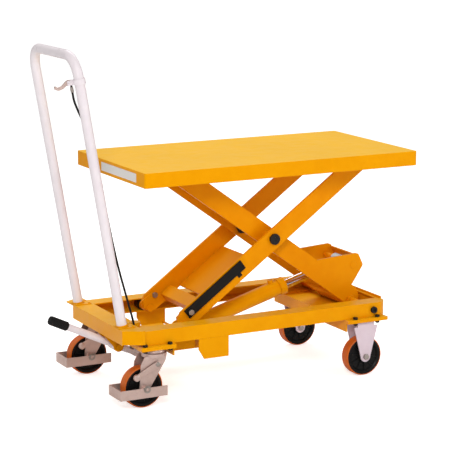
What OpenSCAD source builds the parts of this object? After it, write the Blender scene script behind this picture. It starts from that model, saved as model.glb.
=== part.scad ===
// Mobile hand-pumped scissor lift table, platform half raised.
// Origin: on the floor, in the middle of the whole outline seen from above.
// +X away from the push handle, +Z up. Nodes named left lie on -Y, nodes named right on +Y.

/* [Platform] */
// Length of the platform
platform_length = 930; // [900:5:960]
// Width of the platform
platform_width = 500; // [490:2:510]
// Height of the folded platform skirt
skirt_height = 45; // [42:1:50]
// Thickness of the platform deck plate
deck_thickness = 4; // [3:0.5:4]
// Outside corner radius of the platform
platform_corner = 8; // [4:1:12]

/* [Scissor arms] */
// Width of the flat scissor arms
arm_width = 60; // [56:1:60]
// Plate thickness of the scissor arms
arm_thickness = 8; // [6:0.5:8]
// Diameter of the centre pivot pins
centre_pin = 24; // [20:1:26]

/* [Base frame] */
// Overall width of the base frame
frame_width = 448; // [446:1:450]
// Wall thickness of the base channels
channel_wall = 4; // [3:0.5:4]
// Width of the base channel flanges
channel_flange = 56; // [50:1:58]

/* [Casters] */
// Diameter of the wheels
wheel_diameter = 125; // [120:1:125]
// Width of the wheels
wheel_width = 36; // [32:1:36]
// Thickness of the polyurethane tread
tread_thickness = 4; // [3:1:8]

/* [Handle] */
// Outside diameter of the push handle tube
handle_tube = 30; // [26:1:32]
// Length of the push handle measured along its legs
handle_length = 815; // [760:5:860]

/* [Hydraulics] */
// Outside diameter of the lift cylinder barrel
barrel_diameter = 50; // [48:1:54]
// Diameter of the lift cylinder rod
rod_diameter = 30; // [26:1:32]

/* [Hidden] */
$fn = 64;
gap = 0.05; // clearance between neighbouring pieces
paint = [0.93, 0.60, 0.04];
white = [0.93, 0.90, 0.91];
zinc = [0.72, 0.68, 0.66];
steel = [0.62, 0.62, 0.62];
black = [0.06, 0.06, 0.06];
tyre = [0.80, 0.36, 0.10];

// Pieces are drawn from the middle of the platform, this far from the outline's middle
outline_shift = 117.11;
// Platform
top_z = 705;
deck_under = top_z - deck_thickness;
// Scissor: both hinges at hinge_x, all rollers at roller_x, opposite ways from the pivot
pivot_x = 25;
pivot_z = 446.5;
hinge_x = 330;
low_z = 209;
roller_x = 2*pivot_x - hinge_x;
high_z = 2*pivot_z - low_z;
arm_angle = 35.83;
outer_arm_y = 132; // outer faces of the arms
inner_arm_y = 90;
outer_arm_in = outer_arm_y - arm_thickness;
inner_arm_in = inner_arm_y - arm_thickness;
// Base
frame_side = frame_width/2;
rail_top = 231;
rail_bottom = 187;
// Lift cylinder: shaft in the arm ears, pin at the foot
ear_x = 337;
ear_z = 326;
foot_x = -225;
foot_z = 160;
cylinder_angle = 16.128;
rod_eye = 584.84; // foot pin to rod eye, a little off the ear shaft
// Casters
front_x = 300;
rear_x = -420;
caster_y = 205;
trail = 42;
rear_axle_x = rear_x - trail;
// Pin, shaft and bolt radii
centre_pin_r = centre_pin/2;
upper_pin_r = 8;
low_axle_r = 10;
top_axle_r = 9;
hinge_shaft_r = 12.5;
hinge_bolt_r = 6;
ear_shaft_r = 10;
foot_pin_r = 10;

// ---------- helpers ----------
// round and hexagonal bars along Y, from y0 to y1
module y_rod(x, z, y0, y1, r) translate([x, y0, z]) rotate([-90, 0, 0]) cylinder(h = y1 - y0, r = r);
module y_hex(x, z, y0, y1, r) y_rod(x, z, y0, y1, r, $fn = 6);
// stepped bar along Y; steps: [y from, y to, radius]
module y_steps(x, z, steps) for (s = steps) y_rod(x, z, s[0], s[1], s[2]);
// round bar along X, starting at x
module x_rod(x, length, r, y = 0, z = 0)
  translate([x, y, z]) rotate([0, 90, 0]) cylinder(h = length, r = r);
// bolt head facing +Y with a hexagon socket
module socket_head(x, z, y0, y1, r, socket_r) difference() {
  y_rod(x, z, y0, y1, r);
  translate([x, y1 + 1, z]) rotate([90, 0, 0]) cylinder(h = 5, r = socket_r, $fn = 6);
}
// moves a piece from the middle of the platform to the middle of the outline
module placed() translate([outline_shift, 0, 0]) children();
module both() {
  children();
  mirror([0, 1, 0]) children();
}
// plate from y0 to y1 with its outline drawn in X and Z
module xz_plate(y0, y1) translate([0, y1, 0]) rotate([90, 0, 0]) linear_extrude(height = y1 - y0) children();
module round_rect(x0, x1, y0, y1, r) {
  translate([x0 + r, y0]) square([x1 - x0 - 2*r, y1 - y0]);
  translate([x0, y0 + r]) square([x1 - x0, y1 - y0 - 2*r]);
  for (x = [x0 + r, x1 - r], y = [y0 + r, y1 - r]) translate([x, y]) circle(r = r);
}

// ---------- platform ----------
module platform_deck() placed() color(paint) {
  half_l = platform_length/2;
  half_w = platform_width/2;
  wall = 4;
  skirt_z = top_z - skirt_height;
  difference() {
    translate([0, 0, skirt_z]) linear_extrude(height = skirt_height)
      round_rect(-half_l, half_l, -half_w, half_w, platform_corner);
    translate([0, 0, skirt_z - 1]) linear_extrude(height = skirt_height + 1 - deck_thickness)
      round_rect(-half_l + wall, half_l - wall, -half_w + wall, half_w - wall, platform_corner - 3);
  }
}
// angle tracks of the top rollers, closed at both ends, with outside ribs
module platform_rails() placed() color(paint) both() {
  x = -455;
  length = 400;
  y = 92;
  width = 28;
  z = 663;
  wall = 4;
  translate([x, 118.5, z]) cube([length, wall, deck_under - z - gap]);
  translate([x, y, z]) cube([length, width, wall]);
  for (end_x = [x, x + length - wall])
    translate([end_x, y, z + 3]) cube([wall, width, deck_under - z - 3 - gap]);
  for (rib_x = [-320, -180]) translate([rib_x, 122, z + 1]) cube([5, 30, deck_under - z - 1 - gap]);
}
// pairs of lugs astride the outer arms, and cross strips under the deck
module platform_lugs() placed() color(paint) both() {
  difference() {
    union() for (y = [115.5, 134.5]) xz_plate(y, y + 6) {
      translate([hinge_x - 24, high_z + 2]) square([48, deck_under - high_z - 2 - gap]);
      translate([hinge_x, high_z]) circle(r = 15);
      translate([hinge_x - 15, high_z]) square([30, 12]);
    }
    y_rod(hinge_x, high_z, 110, 150, upper_pin_r + gap);
  }
  for (x = [hinge_x - 90, hinge_x + 85])
    translate([x, 60, deck_under - 10]) cube([4, 150, 10 - gap]);
}
// riveted plate on the skirt at the handle end
module platform_name_plate() placed() color(white) {
  x = -platform_length/2;
  thickness = 0.8;
  rivet_y = [-182, 52];
  rivet_z = top_z - 22;
  difference() {
    translate([x - thickness - gap, -190, top_z - 35]) cube([thickness, 250, 26]);
    for (y = rivet_y) translate([x, y, rivet_z]) rotate([0, -90, 0])
      translate([0, 0, -1]) cylinder(h = 4, r = 1.6);
  }
  for (y = rivet_y) translate([x - gap, y, rivet_z]) rotate([0, -90, 0]) cylinder(h = 1.6, r = 1.5);
}
module upper_hinge_pins() placed() color(steel) both()
  y_steps(hinge_x, high_z, [[112, 144, upper_pin_r], [140.6, 144, 12], [111.5, 115.4, 11]]);

// ---------- scissor arms ----------
half_arm = arm_width/2;
// end holes, from the pivot along and across the arm
hole_along = 386.3;
hole_across = 14.05;
// bolt of the safety bar, in the frame of the outer arms
bar_bolt_x = -350;
bar_bolt_z = 10;
bar_bolt_r = 6;
// frame of the outer arms: X along the arm from the pivot
module arm_frame() translate([pivot_x, 0, pivot_z]) rotate([0, -arm_angle, 0]) children();
// trims a corner of the arm to a round end
module end_trim() difference() {
  translate([0, -2]) square([30, 30]);
  circle(r = 16);
}
// one arm, X along the arm from the pivot
module arm_outline() difference() {
  polygon([
    [-374, -half_arm], [374, -half_arm], [400, -half_arm + 14], [404, -2], [404, 6],
    [392, half_arm], [-374, half_arm], [-400, half_arm - 14], [-404, 2], [-404, -6],
    [-392, -half_arm]]);
  translate([hole_along, hole_across]) end_trim();
  translate([-hole_along, -hole_across]) rotate(180) end_trim();
}
// stiffening cheek at the roller end, [along, across] the outer arm
module cheek_outline() polygon([
  [-330, -half_arm], [-330, -4], [-352, 22], [-392, 22], [-402, 0], [-396, -22],
  [-380, -half_arm]]);
module arms_outer() placed() color(paint) both() difference() {
  union() {
    xz_plate(outer_arm_in, outer_arm_y)
      translate([pivot_x, pivot_z]) rotate(arm_angle) arm_outline();
    xz_plate(outer_arm_in - 6, outer_arm_in + 1)
      translate([pivot_x, pivot_z]) rotate(arm_angle) cheek_outline();
  }
  y_rod(pivot_x, pivot_z, 100, 160, centre_pin_r + gap);
  y_rod(roller_x, low_z, 100, 160, low_axle_r + gap);
  y_rod(hinge_x, high_z, 100, 160, upper_pin_r + gap);
  arm_frame() y_rod(bar_bolt_x, bar_bolt_z, 100, 160, bar_bolt_r + gap);
}
module arms_torsion_plate() placed() color(paint) arm_frame() {
  half_y = outer_arm_in - gap;
  channel_y = outer_arm_in - 6.1;
  translate([-265, -half_y, -half_arm]) cube([190, 2*half_y, 5]);
  // lower stiffening channel close to the rollers
  difference() {
    translate([-332, -channel_y, -half_arm + 2]) cube([42, 2*channel_y, 26]);
    translate([-328, -outer_arm_y, -half_arm - 2]) cube([34, 2*outer_arm_y, 26]);
  }
}
module outer_roller_axles() placed() color(paint) both() y_steps(roller_x, low_z, [
  [117.9, 206, low_axle_r], [116.2, 117.9, 12], [132.1, 171.4, 14.5], [202.4, 204.4, 12.5]]);
module base_rollers() placed() color(black) both() difference() {
  y_rod(roller_x, low_z, 172, 202, 17.8);
  y_rod(roller_x, low_z, 170, 210, low_axle_r + gap);
  // ring groove in the inner face
  difference() {
    y_rod(roller_x, low_z, 171, 173.5, 15.5);
    y_rod(roller_x, low_z, 170, 175, 12.5);
  }
}
// ear that carries the lift cylinder, [x, z] from the centre pivot
module ear_outline() polygon([
  [180, -92.5], [322, -84], [330, -86.5], [333, -92],
  [347, -121], [346, -127], [308, -183.5], [200, -160]]);
module arms_inner() placed() color(paint) both() difference() {
  xz_plate(inner_arm_in, inner_arm_y) translate([pivot_x, pivot_z]) {
    rotate(-arm_angle) mirror([0, 1]) arm_outline();
    ear_outline();
  }
  y_rod(pivot_x, pivot_z, 70, 100, centre_pin_r + gap);
  y_rod(hinge_x, low_z, 70, 100, hinge_shaft_r + gap);
  y_rod(roller_x, high_z, 70, 100, top_axle_r + gap);
  y_rod(ear_x, ear_z, 70, 100, ear_shaft_r + gap);
}
module inner_ear_brace() placed() color(paint) {
  half_y = inner_arm_in - gap;
  // closing plate along the free edge of the ears
  translate([357.6, -half_y, 356.4]) rotate([0, -27.5 + 90, 0])
    translate([1, 0, -5]) cube([32, 2*half_y, 4.5]);
  // web plate between the lower edges, close to the hinge
  translate([pivot_x, 0, pivot_z]) rotate([0, arm_angle, 0])
    translate([315, -half_y, -half_arm]) cube([45, 2*half_y, 5]);
}
module inner_hinge_tube() placed() color(paint) difference() {
  y_rod(hinge_x, low_z, -inner_arm_in + gap, inner_arm_in - gap, 19);
  y_rod(hinge_x, low_z, -inner_arm_y, inner_arm_y, hinge_shaft_r + gap);
}
module top_roller_axles() placed() color(steel) both()
  y_steps(roller_x, high_z, [[76, 117.8, top_axle_r], [76, 81.9, 14], [90.1, 92.6, 13]]);
module top_rollers() placed() color(black) both() difference() {
  y_rod(roller_x, high_z, 93, 116, 16.8);
  y_rod(roller_x, high_z, 90, 120, top_axle_r + gap);
}
module centre_pins() placed() color(black) both() {
  y_rod(pivot_x, pivot_z, 68, 139, centre_pin_r);
  socket_head(pivot_x, pivot_z, 132.2, 140, 17, 8);
  y_hex(pivot_x, pivot_z, 70, 81.8, 20);
}
module centre_spacers() placed() color(paint) both() difference() {
  y_rod(pivot_x, pivot_z, 90.1, 123.8, 20);
  y_rod(pivot_x, pivot_z, 88, 126, centre_pin_r + gap);
}
module cylinder_ear_shaft() placed() color(paint) {
  y_rod(ear_x, ear_z, -91, 91, ear_shaft_r);
  both() y_steps(ear_x, ear_z, [[90.1, 91.4, 11.5], [22.5, 30, 15]]);
}

// ---------- maintenance safety bars, hung on the outer arms ----------
module safety_bar() arm_frame() difference() {
  xz_plate(133.2, 139) translate([-364, -4]) square([235, 30]);
  y_rod(bar_bolt_x, bar_bolt_z, 120, 150, bar_bolt_r + gap);
}
module safety_bar_left() placed() color(black) mirror([0, 1, 0]) safety_bar();
module safety_bar_right() placed() color(black) safety_bar();
module safety_bar_bolts() placed() color(zinc) both() arm_frame() {
  y_steps(bar_bolt_x, bar_bolt_z, [[117, 141, bar_bolt_r], [132.05, 133.1, 11]]);
  y_hex(bar_bolt_x, bar_bolt_z, 139.2, 145.5, 9.5);
  y_hex(bar_bolt_x, bar_bolt_z, 112, 117.9, 9.5);
}
module safety_bar_catches() placed() color(black) both() arm_frame() xz_plate(132.05, 133)
  polygon([[-164, -18], [-149, -18], [-149, 2], [-164, 2]]);

// ---------- base ----------
frame_back = -462;
frame_front = 384;
frame_corner = 38;
caster_top = 182; // top of the caster plates
// caster bolts, from the middle of the plate
bolt_dx = 40;
bolt_dy = 27;
bolt_r = 5;
// repeats its children at the four bolts of the +Y caster at x
module at_bolts(x) for (dx = [-bolt_dx, bolt_dx], dy = [-bolt_dy, bolt_dy])
  translate([x + dx, caster_y + dy, 0]) children();
// outline of the frame with its front corners rounded, drawn in by inset
module frame_plan(inset) {
  length = frame_front - frame_back;
  half_flat = frame_side - frame_corner;
  translate([frame_back, -frame_side + inset])
    square([length - frame_corner, 2*(frame_side - inset)]);
  translate([frame_back, -half_flat]) square([length - inset, 2*half_flat]);
  for (s = [-1, 1]) translate([frame_front - frame_corner, s*half_flat])
    circle(r = frame_corner - inset);
}
module base_frame() placed() color(paint) {
  height = rail_top - rail_bottom;
  hollow = height - 2*channel_wall;
  hollow_z = rail_bottom + channel_wall;
  inside = frame_side - channel_wall;
  well = frame_side - channel_flange;
  // raised lip along the front end
  translate([frame_front - 4, -frame_side + 40, rail_top - 2]) cube([4, 2*(frame_side - 40), 9]);
  difference() {
    translate([0, 0, rail_bottom]) linear_extrude(height = height) frame_plan(0);
    // hollow of the channels
    translate([0, 0, hollow_z]) linear_extrude(height = hollow) difference() {
      frame_plan(channel_wall);
      translate([-470, -600]) square([8 + gap, 1200]);
    }
    translate([-470, -inside, hollow_z]) cube([20, 2*inside, hollow]);
    // well between the flanges
    translate([-500, -well, rail_bottom - 5]) cube([500 + 372, 2*well, 60]);
    both() y_rod(hinge_x, low_z, frame_side - 10, frame_side + 5, hinge_bolt_r + gap);
  }
}
module base_end_member() placed() color(paint) difference() {
  union() {
    translate([0, 0, 234]) linear_extrude(height = 4) polygon([
      [-525, -212], [-475, -240], [-463, -240], [-463, 240], [-475, 240], [-525, 212]]);
    // skirt facing the operator
    translate([-525, -212, 194]) cube([4, 372, 42]);
    // skirt round the -Y corner
    mirror([0, 1, 0]) translate([0, 0, 196]) linear_extrude(height = 40) polygon([
      [-525, 207.5], [-525, 212], [-475, 240], [-463, 240], [-463, 235.5], [-474, 235.5]]);
    // inner web, closing the channel ends
    translate([-467, -frame_side, 196]) cube([4, 2*frame_side, 40]);
  }
  translate([-470, -150, 190]) cube([12, 300, 44]);
}
// cross channel open downwards, middle at x; lip is the depth of its ends, children cut it
module caster_channel(x, half_length, lip) difference() {
  x0 = x - half_length;
  length = 2*half_length;
  translate([x0, -243, 150]) cube([length, 486, rail_bottom - 150 - gap]);
  translate([x0 + 4, -239, 140]) cube([length - 8, 478, caster_top - 140]);
  // shallow end lips
  both() translate([x0 - 1, 230, 140]) cube([length + 2, 30, rail_bottom - lip - 140]);
  // chamfered ends of the deep side flanges
  both() translate([x0 - 1, 190, 150]) rotate([-24, 0, 0])
    translate([0, 0, -60]) cube([length + 2, 90, 60]);
  both() at_bolts(x) translate([0, 0, 170]) cylinder(h = 30, r = bolt_r + gap);
  children();
}
module caster_channel_front() placed() color(paint) caster_channel(front_x, 72, 11)
  // shallow flange on the outer side
  translate([front_x + 62, -300, 140]) cube([12, 600, 36]);
module caster_channel_rear() placed() color(paint) caster_channel(rear_x, 56, 12) {
  // clearance for the pump and for the pedal tube
  translate([rear_x - 12, -118, 140]) cube([80, 156, 60]);
  translate([rear_x - 60, pedal_y - 34, 140]) cube([60, 68, 60]);
  // shallow flange on the operator's side
  translate([rear_x - 60, -300, 140]) cube([9, 600, 35]);
}
module pump_cradle() placed() color(paint) {
  hanger_top = rail_bottom - gap;
  both() xz_plate(frame_side - 5, frame_side) polygon([
    [-280, hanger_top], [-280, 154], [-262, 124], [-180, 124], [-180, hanger_top]]);
  // cross bar and tray
  translate([-190, -frame_side + 4, 128]) cube([5, 2*frame_side - 8, 6]);
  translate([-340, -112, 128]) cube([154, 172, 5]);
  // cheeks for the foot pin of the lift cylinder
  difference() {
    both() xz_plate(34, 40) {
      translate([foot_x - 22, 130]) square([44, 30]);
      translate([foot_x, foot_z]) circle(r = 22);
    }
    y_rod(foot_x, foot_z, -50, 50, foot_pin_r + gap);
  }
}
module hinge_shaft() placed() color(paint) {
  half_y = frame_side - channel_wall - gap;
  difference() {
    y_rod(hinge_x, low_z, -half_y, half_y, hinge_shaft_r);
    both() y_rod(hinge_x, low_z, frame_side - 45, frame_side, hinge_bolt_r + gap);
  }
  // collars beside the inner arms
  both() difference() {
    y_rod(hinge_x, low_z, 90.5, 98, 18);
    y_rod(hinge_x, low_z, 89, 99, 12.4);
  }
}
module hinge_shaft_bolts() placed() color(black) both() {
  y_rod(hinge_x, low_z, frame_side - 40, frame_side + 2, hinge_bolt_r);
  socket_head(hinge_x, low_z, frame_side + 0.1, frame_side + 8, 10.5, 6);
}
// only the outer bolts have heads above the channel
module caster_bolts() placed() color(black) {
  shank_z = 168;
  rows = [[bolt_dy, rail_bottom + 2], [-bolt_dy, rail_bottom - 0.3]]; // [dy, shank top]
  for (caster_x = [front_x, rear_x]) both() for (dx = [-bolt_dx, bolt_dx]) {
    for (row = rows) translate([caster_x + dx, caster_y + row[0], 0]) {
      translate([0, 0, shank_z]) cylinder(h = row[1] - shank_z, r = bolt_r);
      translate([0, 0, 170]) cylinder(h = 7.4, r = 7.8, $fn = 6);
    }
    translate([caster_x + dx, caster_y + bolt_dy, rail_bottom]) cylinder(h = 6.5, r = 7.4);
  }
}

// ---------- push handle, release lever and cable ----------
// foot of the handle, half the distance between its legs, lean towards -X
handle_x = -504;
handle_z = 238;
handle_y = 165;
handle_tilt = 9.6;
handle_r = handle_tube/2;
// lever clamp along the -Y leg; lever pin from the axis of the leg
lever_height = 742;
lever_x = -28;
lever_z = 2;
lever_pin_r = 3;
module tilt() translate([handle_x, 0, handle_z]) rotate([0, -handle_tilt, 0]) children();
module lever_frame() tilt() translate([0, -handle_y, lever_height]) children();
module handle_tube_frame() placed() color(white) tilt() {
  bend = 62;
  half_bar = handle_y - bend;
  both() {
    translate([0, handle_y, 6]) cylinder(h = handle_length - bend - 6, r = handle_r);
    translate([0, half_bar, handle_length - bend]) rotate([90, 0, 90])
      rotate_extrude(angle = 90) translate([bend, 0]) circle(r = handle_r);
  }
  y_rod(0, handle_length, -half_bar, half_bar, handle_r);
}
module handle_sockets() placed() color(paint) both() {
  difference() {
    union() {
      translate([0, 0, handle_z + gap]) linear_extrude(height = 2.5)
        round_rect(handle_x - 19, handle_x + 36, handle_y - 24, handle_y + 24, 5);
      tilt() translate([0, handle_y, 0]) cylinder(h = 8, r = handle_r + 2.5);
    }
    tilt() translate([0, handle_y, 5.9]) cylinder(h = 60, r = handle_r + gap);
    translate([handle_x - 60, handle_y - 60, handle_z - 20]) cube([120, 120, 20 + gap]);
  }
  for (dy = [-17, 17])
    translate([handle_x + 29, handle_y + dy, handle_z + 2.4]) cylinder(h = 2.6, r = 4.5, $fn = 6);
}
module lever_clamp() placed() color(white) lever_frame() {
  difference() {
    union() {
      translate([0, 0, -7]) cylinder(h = 16, r = 18);
      translate([-34, 7, -6]) cube([20, 14.5, 14]);
    }
    translate([0, 0, -20]) cylinder(h = 50, r = handle_r + gap);
    // slot for the lever
    translate([-37, 10.5, -12]) cube([18, 7.2, 30]);
    y_rod(lever_x, lever_z, 0, 30, lever_pin_r + gap);
  }
  y_rod(lever_x, lever_z, 5.5, 23, lever_pin_r);
}
module release_lever() placed() color(zinc) lever_frame() difference() {
  xz_plate(11.1, 17.1) {
    translate([lever_x, lever_z]) circle(r = 8);
    polygon([
      [-27, -6], [-36, -5], [-48, -12], [-62, -14], [-72, -9], [-73, -3],
      [-70, 1], [-62, -5], [-50, -3], [-38, 6], [-29, 10]]);
  }
  y_rod(lever_x, lever_z, 0, 30, lever_pin_r + gap);
}
// one straight piece of cable sheath, with a ball at its end to turn the corner
module cable_leg(start, finish) {
  run = finish - start;
  translate(start) rotate([0, acos(run[2]/norm(run)), atan2(run[1], run[0])])
    cylinder(h = norm(run), r = 3.2);
  translate(finish) sphere(r = 3.7);
}
// a point given in the frame of the handle
function tilted(x, y, z) = [
  handle_x + x*cos(handle_tilt) - z*sin(handle_tilt),
  y,
  handle_z + x*sin(handle_tilt) + z*cos(handle_tilt)];
// down beside the -Y leg, under the end of the base and along to the release valve
module release_cable() placed() color(black) {
  y = 22 - handle_y;
  // [x, z] in the frame of the handle, then [x, y, z] in the base
  leg_points = [[-18, 733], [-18, 690], [4, 610], [20, 540], [22, 320], [28, 190], [38, 80]];
  base_points = [
    [-456, y, 226], [-457, y + 10, 205], [-455, y + 34, 192.2], [-430, -104, 191.5],
    [-352, -104, 191.5], [-343, -112, 188], [-341, -125, 182]];
  points = concat([for (p = leg_points) tilted(p[0], y, p[1])], base_points);
  for (i = [0 : len(points) - 2]) cable_leg(points[i], points[i + 1]);
}

// ---------- pump, pedal and hydraulic line ----------
pedal_x = -470; // pedal pivot
pedal_z = 150;
pedal_y = -40;
pedal_angle = 25.6;
pedal_pin_r = 6;
pedal_tube_r = 11;
plunger_x = -406;
plunger_r = 9;
hose_y = -54;
hose_z = 166;
port_x = -164; // where the hose enters the cylinder
module pump_body() placed() color(paint) difference() {
  union() {
    translate([-386, -112, 133 + gap]) cube([104 - 0.2, 144, 47]);
    translate([-290, -112, 133 + gap]) cube([52, 46, 47]);
    // release valve
    y_rod(-340, 160, -140, -108, 17);
    y_hex(-340, 160, -146, -139, 10);
    // plunger housing and its arms
    translate([plunger_x, pedal_y, 181]) cylinder(h = 34, r = 17);
    translate([plunger_x, pedal_y - 12, 183]) cube([44, 24, 12]);
    translate([-384, pedal_y - 12, 176]) cube([22, 24, 12]);
    translate([-320, -80, 178]) cylinder(h = 10, r = 12, $fn = 6);
  }
  translate([plunger_x, pedal_y, 150]) cylinder(h = 62, r = plunger_r + gap);
}
module pump_plunger() placed() color(steel) translate([plunger_x, pedal_y, 136]) {
  cylinder(h = 51, r = plunger_r);
  cylinder(h = 5, r = 15);
}
// the coils are separate rings
module pump_spring() placed() color(steel) difference() {
  union() for (i = [0 : 5]) translate([plunger_x, pedal_y, 141.6 + i*7.1]) cylinder(h = 3, r = 14);
  translate([plunger_x, pedal_y, 100]) cylinder(h = 100, r = 11);
}
module pedal_hole() y_rod(pedal_x, pedal_z, pedal_y - 40, pedal_y + 40, pedal_pin_r + gap);
module pedal_bracket() placed() color(paint) {
  for (y = [pedal_y - 25, pedal_y + 20]) difference() {
    xz_plate(y, y + 5) {
      translate([pedal_x, pedal_z]) circle(r = 16);
      polygon([
        [pedal_x - 16, pedal_z], [-520, 193], [-520, 233.5], [-468, 233.5],
        [pedal_x + 16, pedal_z]]);
    }
    pedal_hole();
  }
  y_rod(pedal_x, pedal_z, pedal_y - 31, pedal_y + 31, pedal_pin_r);
  for (dy = [[-31, -25.2], [25.2, 31]])
    y_hex(pedal_x, pedal_z, pedal_y + dy[0], pedal_y + dy[1], 10);
}
// X along the pedal tube, the foot end towards -X
module pedal_frame() translate([pedal_x, pedal_y, pedal_z]) rotate([0, pedal_angle, 0]) children();
module pedal_lever() placed() color(white) difference() {
  union() {
    pedal_frame() {
      x_rod(-229, 272, pedal_tube_r);
      translate([38, -11, -9]) cube([28, 22, 15]);
      y_rod(0, 0, -19.5, 19.5, 16);
    }
    // roller under the plunger
    y_rod(plunger_x, 122, pedal_y - 11, pedal_y + 11, 13.5);
  }
  pedal_hole();
}
module pedal_grip() placed() color(black) pedal_frame() difference() {
  union() {
    x_rod(-236, 62, 13.2);
    for (i = [0 : 6]) x_rod(-230 + i*8, 4, 14.1);
  }
  x_rod(-229 - gap, 100, pedal_tube_r + gap);
}
module hydraulic_hose() placed() color(black) {
  bend = 16;
  x_rod(-282.1, 10, 9, hose_y, hose_z, $fn = 6);
  x_rod(-275, 96, 6.3, hose_y, hose_z);
  translate([port_x - bend, hose_y + bend, hose_z]) rotate([0, 0, -90])
    rotate_extrude(angle = 90) translate([bend, 0]) circle(r = 6);
  y_rod(port_x, hose_z, -39, -37.9, 6.3);
}
module cylinder_pin() placed() color(steel) {
  y_rod(foot_x, foot_z, -46, 46, foot_pin_r);
  both() y_rod(foot_x, foot_z, 40.1, 46, 14);
}
barrel_r = barrel_diameter/2;
rod_r = rod_diameter/2;
// X along the lift cylinder from its foot pin
module cylinder_frame() translate([foot_x, 0, foot_z]) rotate([0, -cylinder_angle, 0]) children();
module cylinder_barrel() placed() color(paint) difference() {
  union() {
    cylinder_frame() {
      x_rod(26, 330, barrel_r);
      x_rod(350, 22, barrel_r + 3);
      x_rod(20, 14, barrel_r + 2);
      // foot eye and its neck
      y_rod(0, 0, -25, 25, 22);
      translate([0, -18, -18]) cube([30, 36, 36]);
      // boss on the upper side
      translate([330, 0, barrel_r - 4]) cylinder(h = 14, r = 9);
    }
    y_rod(port_x, hose_z, -37.5, -8, 8);
  }
  cylinder_frame() {
    y_rod(0, 0, -40, 40, foot_pin_r + gap);
    x_rod(70, 270, barrel_r - 7);
    x_rod(300, 80, rod_r + gap);
  }
}
module cylinder_rod() placed() color(steel) cylinder_frame() difference() {
  union() {
    x_rod(150, rod_eye - 150 - 15, rod_r);
    x_rod(140, 30, barrel_r - 7.1); // piston
    y_rod(rod_eye, 0, -20, 20, 22);
  }
  y_rod(rod_eye, 0, -30, 30, 15.5);
}

// ---------- casters ----------
wheel_r = wheel_diameter/2;
rim_r = wheel_r - tread_thickness;
half_wheel = wheel_width/2;
axle_r = 6;
nut_r = 9.5;
fork_y = [caster_y - 26, caster_y + 22]; // -Y faces of the fork sides
fork_plate = 4;
plate_z = caster_top - 4;
// brake pin
brake_x = rear_axle_x + 40;
brake_z = 131;
brake_pin_r = 5;
// bolt holes from drill_z up, and room for the nuts below the plate
module bolt_drills(x, drill_z) at_bolts(x) {
  translate([0, 0, drill_z]) cylinder(h = 30, r = bolt_r + gap);
  translate([0, 0, 160]) cylinder(h = 17.9, r = 10);
}
module caster_plate(x) translate([x - 50, caster_y - 33.5, plate_z]) cube([100, 67, 4 - gap]);
// side of a fixed fork, [x, z] from the axle
module fork_side(height) {
  polygon([
    [-17, 0], [-44, height - 14], [-48, height], [48, height], [44, height - 14], [17, 0]]);
  circle(r = 17);
}
module fixed_forks() placed() color(white) both() difference() {
  union() {
    for (y = fork_y) xz_plate(y, y + fork_plate)
      translate([front_x, wheel_r]) fork_side(caster_top - gap - wheel_r);
    caster_plate(front_x);
  }
  bolt_drills(front_x, 170);
  y_rod(front_x, wheel_r, caster_y - 40, caster_y + 40, axle_r + gap);
}
module fixed_axles() placed() color(zinc) both() {
  y_rod(front_x, wheel_r, caster_y - 32, caster_y + 32, axle_r);
  for (dy = [[26.1, 33], [-34, -26.1]])
    y_hex(front_x, wheel_r, caster_y + dy[0], caster_y + dy[1], nut_r);
}
// wheel body with a hub and a ring recess in each face; side is -1 or 1
module wheel_core(x, side) {
  y = side*caster_y;
  difference() {
    union() {
      y_rod(x, wheel_r, y - half_wheel, y + half_wheel, rim_r - gap);
      y_rod(x, wheel_r, y - 21.5, y + 21.5, 11);
    }
    for (d = [-1, 1]) translate([x, y + d*(half_wheel + 5), wheel_r]) rotate([90, 0, 0])
      difference() {
        cylinder(h = 20, r = rim_r - 6, center = true);
        cylinder(h = 30, r = 17, center = true);
      }
    y_rod(x, wheel_r, y - 40, y + 40, axle_r + gap);
  }
}
// ring turned from its section, [radius, distance from the middle of the wheel]
module tread(x, side) translate([x, side*caster_y, wheel_r]) rotate([90, 0, 0]) rotate_extrude()
  polygon([
    [rim_r, -half_wheel + 0.5], [wheel_r - 1.5, -half_wheel + 0.5], [wheel_r, -half_wheel + 4],
    [wheel_r, half_wheel - 4], [wheel_r - 1.5, half_wheel - 0.5], [rim_r, half_wheel - 0.5]]);
module wheel_front_left() placed() color(black) wheel_core(front_x, -1);
module wheel_front_right() placed() color(black) wheel_core(front_x, 1);
module tread_front_left() placed() color(tyre) tread(front_x, -1);
module tread_front_right() placed() color(tyre) tread(front_x, 1);
module wheel_rear_left() placed() color(black) wheel_core(rear_axle_x, -1);
module wheel_rear_right() placed() color(black) wheel_core(rear_axle_x, 1);
module tread_rear_left() placed() color(tyre) tread(rear_axle_x, -1);
module tread_rear_right() placed() color(tyre) tread(rear_axle_x, 1);

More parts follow.
